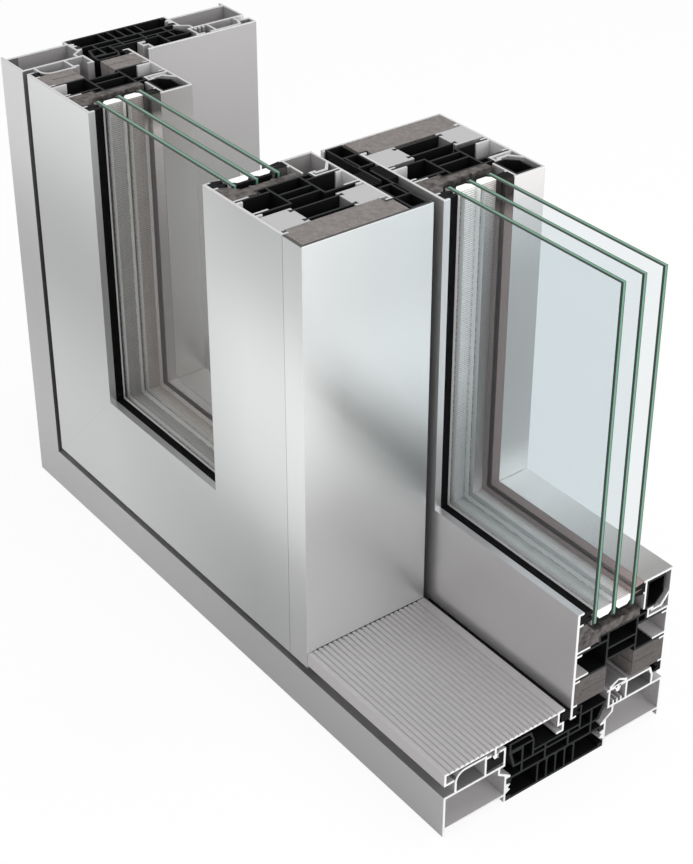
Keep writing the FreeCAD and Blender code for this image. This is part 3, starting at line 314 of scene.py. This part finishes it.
def glance(g, deep, up):
    deepHere = (deep - cadLow.y) / mm
    slant = (up / mm + deepHere * glanceLook["lean"] - glanceLook["low"])
    place = slant / (glanceLook["high"] - glanceLook["low"])
    tone = g.tones(place, glanceLook["tones"])
    share = ((deepHere - glanceLook["start"]) / glanceLook["reach"]).clamped()
    return (1 - (1 - tone) * share) * (glanceLook["near"] + deepHere * glanceLook["rise"])


def makeAluminium(name):
    look = dict(aluminiumBase, **aluminiumLooks[name])
    material, g = newFinish(name)
    across, deep, up = g.axes(g.place())
    faceX, faceY, faceZ = g.facing()
    cut = sawnFace(g)
    bare = (cut + sawnEdge(g)).clamped()
    inner = innerWall(g, sections[look["section"]]) * (1 - bare)
    rise = up / sawn["top"]
    # painted reflections and shade by height, blended from the left to the right end of the span;
    # the cover's front faces take their own painted reflection
    left, right = [g.tones(rise, look[side], look["level"]) for side in ("left", "right")]
    start, end = look["span"]
    share = (((across - cadLow.x) / mm - start) / (end - start)).clamped()
    tone = g.blend(share, left, right)
    if "front" in look:
        front = g.tones(rise, look["front"], look["frontLevel"])
        tone = g.blend(faceY < -square, tone, front)
    cloud = g.noise(look["cloudScale"]) * look["cloud"] + (1 - look["cloud"] / 2)
    grain = g.noise(look["grainScale"])
    line = abs(across - cadLow.x - up) < look["mitreWide"]
    mitre = line * (faceY < -square) * (up < look["mitreTop"])
    shade = cloud * (1 - mitre * (1 - look["mitreTone"]))
    if "ledge" in look:  # painted shadow on the upright face of the narrow ledge beside the leaf, painted light on its top
        ledge = deep < cadLow.y + look["ledgeDeep"]
        shade = shade * (1 - ledge * look["ledgeTone"] * ((faceX > square) - (faceZ > square)))
    if "glance" in look:
        shade = shade * (1 - (faceX > square) * (1 - glance(g, deep, up)))
    # painted shade in the grooves between the threshold's ribs
    if "ribPitch" in look:
        rib = ((deep - cadLow.y) / mm + look["ribPitch"] / 4) % look["ribPitch"]
        grooveShade = (rib < look["ribPitch"] / 2) * (faceZ > look["ribFace"])
        shade = shade * (1 - grooveShade * (1 - look["ribGrooveShade"]))
    colour = g.blend(1.0, look["colour"], tone, "MULTIPLY")
    # painted light and shade on the inner walls, set by place: under the top cut, low down near
    # the right end (lighter deeper in), and elsewhere
    below = ((sawn["top"] - up) / look["innerReach"]).clamped()
    within = ((sawn["right"] - across) / look["deepReach"]).clamped()
    ahead = ((across - sawn["right"] + look["endReach"]) / look["deepReach"]).clamped()
    wall = g.blend(ahead * (up < look["innerHigh"]), look["inner"],
                   g.blend(within, look["innerLow"], look["innerDeep"]))
    colour = g.blend(inner, colour, g.blend(below, look["innerTop"], wall))
    colour = g.blend(shade, grey(0.0), colour)
    kerf = g.add("ShaderNodeTexWave", {"wave_type": "BANDS", "bands_direction": "DIAGONAL"}, {
        "Vector": g.place(), "Scale": look["kerfScale"], "Distortion": look["kerfWander"],
        "Detail": 2.0})
    rough = (look["roughness"] + grain * look["grainRoughness"]
             + bare * (look["sawnRoughness"] - look["roughness"]))
    # painted light and shade on the cuts: the right end's cut is painted lighter than the top cut,
    # for how the light falls on each
    metalCut = g.blend(faceX > square, look["sawn"], look["sawnEnd"])
    height = grain * (1 - cut) * look["grainBump"] + kerf * cut * look["kerfBump"]
    g.surface({
        "Base Color": g.blend(bare, colour, metalCut),
        "Metallic": look["metal"] * (1 - bare * look["sawnMatt"] - inner * look["innerMatt"]),
        "Roughness": rough + inner * look["innerRoughness"],
        "Normal": g.bump(height, look["bump"], look["bumpDeep"]),
    })
    return material


# Black plastic of the thermal break, the cores and the meeting profiles.
plasticLook = {"wall": (0.0035, 0.0035, 0.004, 1.0), "sawn": (0.020, 0.0215, 0.022, 1.0),
               "fleckScale": 1400.0, "fleckLow": 0.6, "fleckRise": 0.6, "shine": 0.15,
               "roughness": 0.45, "sawnRoughness": 0.2, "fleckRoughness": 0.08,
               "bump": 0.04, "bumpDeep": 0.1 * mm}


def makePlastic():
    material, g = newFinish("blackPlastic")
    look = plasticLook
    cut = sawnFace(g)
    fleck = g.noise(look["fleckScale"], 3.0)
    pale = cut * (look["fleckLow"] + fleck * look["fleckRise"])
    g.surface({
        "Base Color": g.blend(pale, look["wall"], look["sawn"]),
        "Roughness": (look["roughness"] + cut * look["sawnRoughness"]
                      + fleck * look["fleckRoughness"]),
        "Specular IOR Level": look["shine"],
        "Normal": g.bump(fleck, look["bump"], look["bumpDeep"]),
    })
    return material


# Rubber seals, sealant and brush pile. The seals behind the panes get a painted pale brown-grey
# reflection, paler behind the fixed leaf.
rubberLook = {"wall": (0.004, 0.004, 0.0045, 1.0), "sawn": (0.010, 0.010, 0.011, 1.0),
              "fixed": (0.84, 0.785, 0.775, 1.0), "sliding": (0.33, 0.255, 0.245, 1.0),
              "trackPitch": 101.7, "paneRear": 42.0, "sealRear": 58.0,
              "topTone": 0.10, "topReach": 12 * mm, "topFade": 14 * mm,
              "fleckScale": 2200.0, "fleckLow": 0.5, "fleckRise": 0.7, "shine": 0.05,
              "roughness": 0.6, "fleckRoughness": 0.2, "bump": 0.04, "bumpDeep": 0.1 * mm}


def veilWithPaintedShadow(g, colour):  # painted shadow on the top of a seal's painted reflection
    across, deep, up = g.axes(g.place())
    fade = ((sawn["top"] - up - rubberLook["topReach"]) / rubberLook["topFade"]).clamped()
    return g.blend(rubberLook["topTone"] + fade * (1 - rubberLook["topTone"]), grey(0.0), colour)


def makeRubber():
    material, g = newFinish("blackRubber")
    look = rubberLook
    across, deep, up = g.axes(g.place())
    cut = sawnFace(g)
    fleck = g.noise(look["fleckScale"], 3.0)
    deepHere = (deep - cadLow.y) / mm
    inLeaf = deepHere % look["trackPitch"]
    behind = (inLeaf > look["paneRear"]) * (inLeaf < look["sealRear"])
    # painted reflection on the seals behind the panes, with painted shadow at their top
    paintedVeil = behind * (1 - cut)
    veilColour = g.blend(deepHere > look["trackPitch"], look["fixed"], look["sliding"])
    pale = cut * (look["fleckLow"] + fleck * look["fleckRise"])
    black = g.blend(pale, look["wall"], look["sawn"])
    g.surface({
        "Base Color": g.blend(paintedVeil, black, veilWithPaintedShadow(g, veilColour)),
        "Roughness": look["roughness"] + fleck * look["fleckRoughness"],
        "Specular IOR Level": look["shine"],
        "Normal": g.bump(fleck, look["bump"], look["bumpDeep"]),
    })
    return material


# Rigid grey-brown foam with open cells; the packing under the glass is darker and coarser.
foamBase = {"cellScale": 1300.0, "cellMiddle": 0.4, "roughness": 0.9, "bumpDeep": 0.3 * mm,
            "cellBump": 0.6, "patchBump": 0.4}
foamLooks = {
    "rigidFoam": {"dark": (0.118, 0.106, 0.101, 1.0), "light": (0.218, 0.200, 0.192, 1.0),
                  "patch": 280.0, "mottle": 1.5, "cells": 0.8, "rough": 0.6, "endTone": 0.50},
    "packingFoam": {"dark": (0.026, 0.022, 0.021, 1.0), "light": (0.125, 0.112, 0.107, 1.0),
                    "patch": 260.0, "mottle": 3.2, "cells": 0.35, "rough": 1.0, "endTone": 0.9},
}


def makeFoam(name):
    look = dict(foamBase, **foamLooks[name])
    material, g = newFinish(name)
    faceX, faceY, faceZ = g.facing()
    cell = g.add("ShaderNodeTexVoronoi", {"feature": "F1"}, {
        "Vector": g.place(), "Scale": look["cellScale"]})
    patch = g.noise(look["patch"], 5.0)
    tone = 0.5 + (patch - 0.5) * look["mottle"] + (cell - look["cellMiddle"]) * look["cells"]
    colour = g.blend(tone.clamped(), look["dark"], look["light"])
    height = cell * look["cellBump"] + patch * look["patchBump"]
    g.surface({
        "Base Color": g.blend(1 - (faceX > square) * (1 - look["endTone"]), grey(0.0), colour),
        "Roughness": look["roughness"],
        "Normal": g.bump(height, look["rough"], look["bumpDeep"]),
    })
    return material


# Spacer bars of the glazing: pale, finely ribbed and dotted, bonded to the panes. Tones of
# the first and second bar are painted shade and light by height, as (share of the height, share of
# the colour); the fixed leaf's bars are painted darker as a shaded copy.
spacerLook = {
    "sawn": (0.88, 0.89, 0.88, 1.0), "shade": 0.42, "warm": (1.0, 0.93, 0.91, 1.0),
    "colours": {"fixed": (0.60, 0.585, 0.565, 1.0), "sliding": (0.80, 0.805, 0.79, 1.0)},
    "tones": {
        "fixed": [[(0.0, 0.65), (1.0, 0.65)],
                  [(0.0, 1.0), (0.34, 1.0), (0.45, 0.80), (0.7, 0.74), (1.0, 0.52)]],
        "sliding": [[(0.0, 0.64), (0.34, 0.64), (0.48, 0.5), (0.62, 0.9), (1.0, 1.0)],
                    [(0.0, 0.98), (0.34, 0.94), (0.40, 0.29), (0.72, 0.26), (0.9, 0.42),
                     (1.0, 0.9)]],
    },
    "ribPitch": 1.5 * mm, "dotPitch": 3.0 * mm, "dotWide": 0.7 * mm, "dotRows": 3,
    "wearScale": 120.0, "ribLow": 0.25, "ribWear": 0.8, "dotMark": 0.5, "sideFace": 0.3,
    "roughness": 0.55, "ribBump": 0.5, "dotBump": 0.3, "bump": 0.3, "bumpDeep": 0.2 * mm,
}


def spacerColour(g, leaf, second):
    across, deep, up = g.axes(g.place())
    tones = [g.tones(up / sawn["top"], stops) for stops in spacerLook["tones"][leaf]]
    warmed = g.blend(1.0, tones[1], spacerLook["warm"], "MULTIPLY")
    tone = g.blend(second, tones[0], warmed)
    return g.blend(1.0, spacerLook["colours"][leaf], tone, "MULTIPLY")


def makeSpacer(name, node):
    low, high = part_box(node)
    look = spacerLook
    barDeep = (high.y - low.y - glassLook["thick"]) / 2
    leaf = node.split("_")[0]
    material, g = newFinish(name)
    across, deep, up = g.axes(g.place())
    faceX, faceY, faceZ = g.facing()
    cut = sawnFace(g)
    side = abs(faceY) > look["sideFace"]
    along = across + up
    rib = (along % look["ribPitch"]) > look["ribPitch"] / 2
    row = ((deep - low.y) % (barDeep / look["dotRows"])) < look["dotWide"]
    dot = row * ((along % look["dotPitch"]) < look["dotWide"])
    worn = rib * (look["ribLow"] + g.noise(look["wearScale"], 3.0) * look["ribWear"])
    marks = (worn + dot * look["dotMark"]).clamped() * (1 - side)
    bar = spacerColour(g, leaf, deep > (low.y + high.y) / 2)
    colour = g.blend(1 - marks * (1 - look["shade"]), grey(0.0), bar)
    height = (rib * look["ribBump"] + dot * look["dotBump"]) * (1 - cut)
    g.surface({
        "Base Color": g.blend(cut, colour, look["sawn"]),
        "Roughness": look["roughness"],
        "Normal": g.bump(height, look["bump"], look["bumpDeep"]),
    })
    return material


# Clear glass, a little blue in sum, with a green edge between dark arrises. A painted light
# strip low on the front of each pane covers the shaded slot above the bars with the bars'
# lightened colour; on the rear pane it shows the seal's painted reflection.
glassLook = {
    "thick": 4.0 * mm,
    "fixed": (0.945, 0.950, 0.948, 1.0),
    "sliding": (0.933, 0.951, 0.957, 1.0),
    "gloss": (0.85, 0.81, 0.81, 1.0),
    "veil": 0.012,
    "edge": (0.125, 0.28, 0.195, 1.0),
    "rim": (0.002, 0.008, 0.0055, 1.0),
    "frontRim": 2.0 * mm,
    "rearRim": 0.4 * mm,
    "sheen": 0.06,
    "skin": 0.2 * mm,
    "stripTop": 83.4,
    "stripWhite": {"fixed": 0.40, "sliding": 0.34},
    "veilTone": {"fixed": 0.86, "sliding": 1.0},
    "dashes": 420.0, "dashTop": 79.8, "dashTone": 0.6,
    "sideFace": 0.5, "shine": 0.3, "smearScale": 14.0,
    "roughness": 0.02, "smearRoughness": 0.03, "edgeRoughness": 0.3, "stripRoughness": 0.6,
}


def makeGlass(name, node):
    low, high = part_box(node)
    look = glassLook
    pitch = (high.y - low.y - look["thick"]) / 2
    material, g = newFinish(name)
    across, deep, up = g.axes(g.place())
    faceX, faceY, faceZ = g.facing()
    edge = abs(faceY) < look["sideFace"]
    leaf = node.split("_")[0]
    height = edgeHeight(g, sections[leaf])
    # painted light strip over the shaded slot above the bars, lightened towards white
    strip = (faceY < -look["sideFace"]) * (height < look["stripTop"])
    dash = (g.noise(look["dashes"], 1.0) > 0.5) * (height < look["dashTop"])
    bar = g.blend(look["stripWhite"][leaf], spacerColour(g, leaf, 0.0), grey(1.0))
    bar = g.blend(1 - dash * (1 - look["dashTone"]), grey(0.0), bar)
    veilColour = g.blend(look["veilTone"][leaf], grey(0.0), veilWithPaintedShadow(g, rubberLook[leaf]))
    stripColour = g.blend(deep > high.y - look["thick"] - look["skin"], bar, veilColour)
    inPane = (deep - low.y) % pitch
    rim = ((inPane < look["frontRim"]) + (inPane > look["thick"] - look["rearRim"])).clamped()
    clearColour = g.blend(edge, look["gloss"], g.blend(rim, look["edge"], look["rim"]))
    facing = g.add("ShaderNodeLayerWeight", {}, {"Blend": 0.5}, "Facing")
    sheen = facing * facing * facing * look["sheen"]
    g.surface({
        "Base Color": g.blend(strip, clearColour, stripColour),
        "Roughness": (look["roughness"] + g.noise(look["smearScale"], 3.0) * look["smearRoughness"]
                      + edge * look["edgeRoughness"] + strip * look["stripRoughness"]),
        "Specular IOR Level": look["shine"],
    }, (edge + strip + sheen + look["veil"]).clamped(), look[leaf])
    return material


# Node names begin so for each aluminium finish; the rest has the leaf's.
aluminiumNodes = {
    "fixedBeadAluminium": ("fixed_glazing_beads",),
    "slideBeadAluminium": ("sliding_glazing_beads",),
    "jambSideAluminium": ("jamb_cover",),
    "frameAluminium": ("sill_", "jamb_"),
    "coverAluminium": ("fixed_meeting_stile_cover",),
    "slideAluminium": ("sliding_",),
}
plain = {
    "rail_aluminium": makeAluminium("railAluminium"),
    "threshold_aluminium": makeAluminium("thresholdAluminium"),
    "block_aluminium": makeAluminium("blockAluminium"),
    "black_plastic": makePlastic(),
    "seal_rubber": makeRubber(),
    "foam": makeFoam("rigidFoam"),
}
packing = makeFoam("packingFoam")
aluminium = {name: makeAluminium(name) for name in ["leafAluminium", *aluminiumNodes]}


def chooseFinish(name, slot):
    if slot == "clear_glass":
        return makeGlass(name + "Glass", name)
    if slot == "spacer_plastic":
        return makeSpacer(name + "White", name)
    if name.endswith("rebate_foam"):
        return packing
    if slot != "aluminium":
        return plain[slot]
    for look, starts in aluminiumNodes.items():
        if name.startswith(starts):
            return aluminium[look]
    return aluminium["leafAluminium"]


for part in frame["record"]["subparts"]:
    name = part["node"]
    material = chooseFinish(name, part["material_slot"])
    if not nodes[name].material_slots:
        nodes[name].data.materials.append(material)
    for place in nodes[name].material_slots:
        place.material = material
print("materials set")


# Black hollow blocks in the beads' chambers, cut off with them: low and high corners of each in
# millimetres from the sample's low left front corner, and which way it runs.
beadInserts = {
    "fixedStileInsert": {"low": (97.4, 58.8, 123.0), "high": (118.7, 74.4, 343.9),
                         "body": "frame", "runs": 2},
    "slidingStileInsert": {"low": (337.6, 160.5, 123.0), "high": (358.9, 176.1, 343.9),
                           "body": "sliding_leaf", "runs": 2},
    "slidingRailInsert": {"low": (362.0, 160.5, 97.4), "high": (496.9, 176.1, 118.7),
                          "body": "sliding_leaf", "runs": 0},
}
insertLook = {"slope": 7.0 * mm, "wall": 1.1 * mm, "hollow": 60 * mm, "near": 0.001 * mm}


def pickFaces(piece, test):
    bpy.ops.mesh.select_all(action="DESELECT")
    bpy.ops.object.mode_set(mode="OBJECT")
    for face in piece.data.polygons:
        face.select = test(face.center, face.normal)
    bpy.ops.object.mode_set(mode="EDIT")


def pickEdges(piece, test):
    bpy.ops.mesh.select_all(action="DESELECT")
    bpy.ops.object.mode_set(mode="OBJECT")
    points = piece.data.vertices
    for edge in piece.data.edges:
        edge.select = test(*[points[index].co for index in edge.vertices])
    bpy.ops.object.mode_set(mode="EDIT")


def makeBeadInsert(name, look):
    low, high = [[corner[axis] * mm + cadLow[axis] * (axis < 2) for axis in range(3)]
                 for corner in (look["low"], look["high"])]
    middle = [(low[axis] + high[axis]) / 2 for axis in range(3)]
    size = [high[axis] - low[axis] for axis in range(3)]
    bpy.ops.object.select_all(action="DESELECT")
    bpy.ops.mesh.primitive_cube_add(size=1.0, location=middle, scale=size)
    piece = bpy.context.object
    piece.name = name
    bpy.ops.object.transform_apply(location=True, rotation=True, scale=True)
    runs, other = look["runs"], 2 - look["runs"]
    bpy.ops.object.mode_set(mode="EDIT")
    bpy.ops.mesh.select_mode(type="EDGE")
    near = insertLook["near"]
    pickEdges(piece, lambda first, second: (
        abs(first[other] - low[other]) + abs(second[other] - low[other]) < near
        and abs(first.y - high[1]) + abs(second.y - high[1]) < near))
    bpy.ops.mesh.bevel(offset=insertLook["slope"], segments=1)
    bpy.ops.mesh.select_mode(type="FACE")
    pickFaces(piece, lambda centre, normal: normal[runs] > square)
    bpy.ops.mesh.inset(thickness=insertLook["wall"], depth=0.0)
    inward = [0.0, 0.0, 0.0]
    inward[runs] = -insertLook["hollow"]
    bpy.ops.mesh.extrude_region_move(TRANSFORM_OT_translate={"value": inward})
    bpy.ops.object.mode_set(mode="OBJECT")
    piece.data.materials.append(plain["black_plastic"])
    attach(piece, look["body"])


for name, look in beadInserts.items():
    makeBeadInsert(name, look)
print("bead inserts made:", len(beadInserts))


# Pale floor and white surround; both keep the object's soft shadow and its reflections.
stageLook = {"size": 6.0, "drop": 0.5 * mm, "colour": (0.84, 0.84, 0.84, 1.0),
             "toCamera": 0.9, "toMetal": 0.25, "surround": 0.75}


def makeFloor():
    bpy.ops.object.select_all(action="DESELECT")
    bpy.ops.mesh.primitive_plane_add(size=stageLook["size"], location=(0, 0, -stageLook["drop"]))
    floor = bpy.context.object
    floor.name = "studioFloor"
    bpy.ops.object.transform_apply(location=True)
    material, g = newFinish("paleFloor")
    rays = g.add("ShaderNodeLightPath", {}, {}, "Is Camera Ray")
    seen = ((rays + rays.output("Is Transmission Ray")) * stageLook["toCamera"]
            + rays.output("Is Glossy Ray") * stageLook["toMetal"]).clamped()
    matt = g.add("ShaderNodeBsdfDiffuse", {}, {"Color": stageLook["colour"]})
    glow = g.add("ShaderNodeEmission", {}, {"Color": grey(1.0), "Strength": 1.0})
    mixed = g.add("ShaderNodeMixShader", {}, {0: seen, 1: matt, 2: glow})
    g.add("ShaderNodeOutputMaterial", {}, {"Surface": mixed})
    floor.data.materials.append(material)


def makeWorld():
    world = bpy.data.worlds.new("studio")
    world.use_nodes = True
    scene.world = world
    g = Graph(world.node_tree)
    rays = g.add("ShaderNodeLightPath", {}, {}, "Is Camera Ray")
    seen = (rays + rays.output("Is Glossy Ray") + rays.output("Is Transmission Ray")).clamped()
    light = g.add("ShaderNodeBackground", {}, {
        "Color": grey(1.0), "Strength": stageLook["surround"]})
    white = g.add("ShaderNodeBackground", {}, {"Color": grey(1.0), "Strength": 1.0})
    mixed = g.add("ShaderNodeMixShader", {}, {0: seen, 1: light, 2: white})
    g.add("ShaderNodeOutputWorld", {}, {"Surface": mixed})


# Square lamps that face the middle of the sample: place and size in metres, power in watts.
lamps = {
    "back": {"place": (0.3, 1.0, 1.7), "size": 1.2, "power": 9.0},
    "front": {"place": (-0.3, -1.5, 1.2), "size": 1.4, "power": 8.0},
    "side": {"place": (1.7, 0.2, 1.0), "size": 1.2, "power": 16.0},
}


def makeLamps():
    middle = (cadLow + cadHigh) / 2
    for name, lamp in lamps.items():
        data = bpy.data.lights.new(name + "Lamp", "AREA")
        data.shape = "SQUARE"
        data.size = lamp["size"]
        data.energy = lamp["power"]
        light = bpy.data.objects.new(name + "Lamp", data)
        scene.collection.objects.link(light)
        light.location = lamp["place"]
        light.rotation_euler = (middle - light.location).to_track_quat("-Z", "Y").to_euler()


# From the front right and above; angles in degrees, lens and film in millimetres.
cameraView = {
    "place": (0.8567, -0.6218, 0.8186),
    "turn": 53.035,
    "drop": 30.475,
    "lens": 76.4,
    "film": 36.0,
    "shift": -0.1,
    "nearest": 0.01,
}


def makeCamera():
    data = bpy.data.cameras.new("photoCamera")
    data.lens = cameraView["lens"]
    data.sensor_width = cameraView["film"]
    data.shift_y = cameraView["shift"]
    data.clip_start = cameraView["nearest"]
    camera = bpy.data.objects.new("photoCamera", data)
    scene.collection.objects.link(camera)
    camera.location = cameraView["place"]
    camera.rotation_euler = (math.radians(90 - cameraView["drop"]), 0.0,
                             math.radians(cameraView["turn"]))
    scene.camera = camera


makeFloor()
makeWorld()
makeLamps()
makeCamera()
scene.view_settings.view_transform = "Standard"
print("stage set")
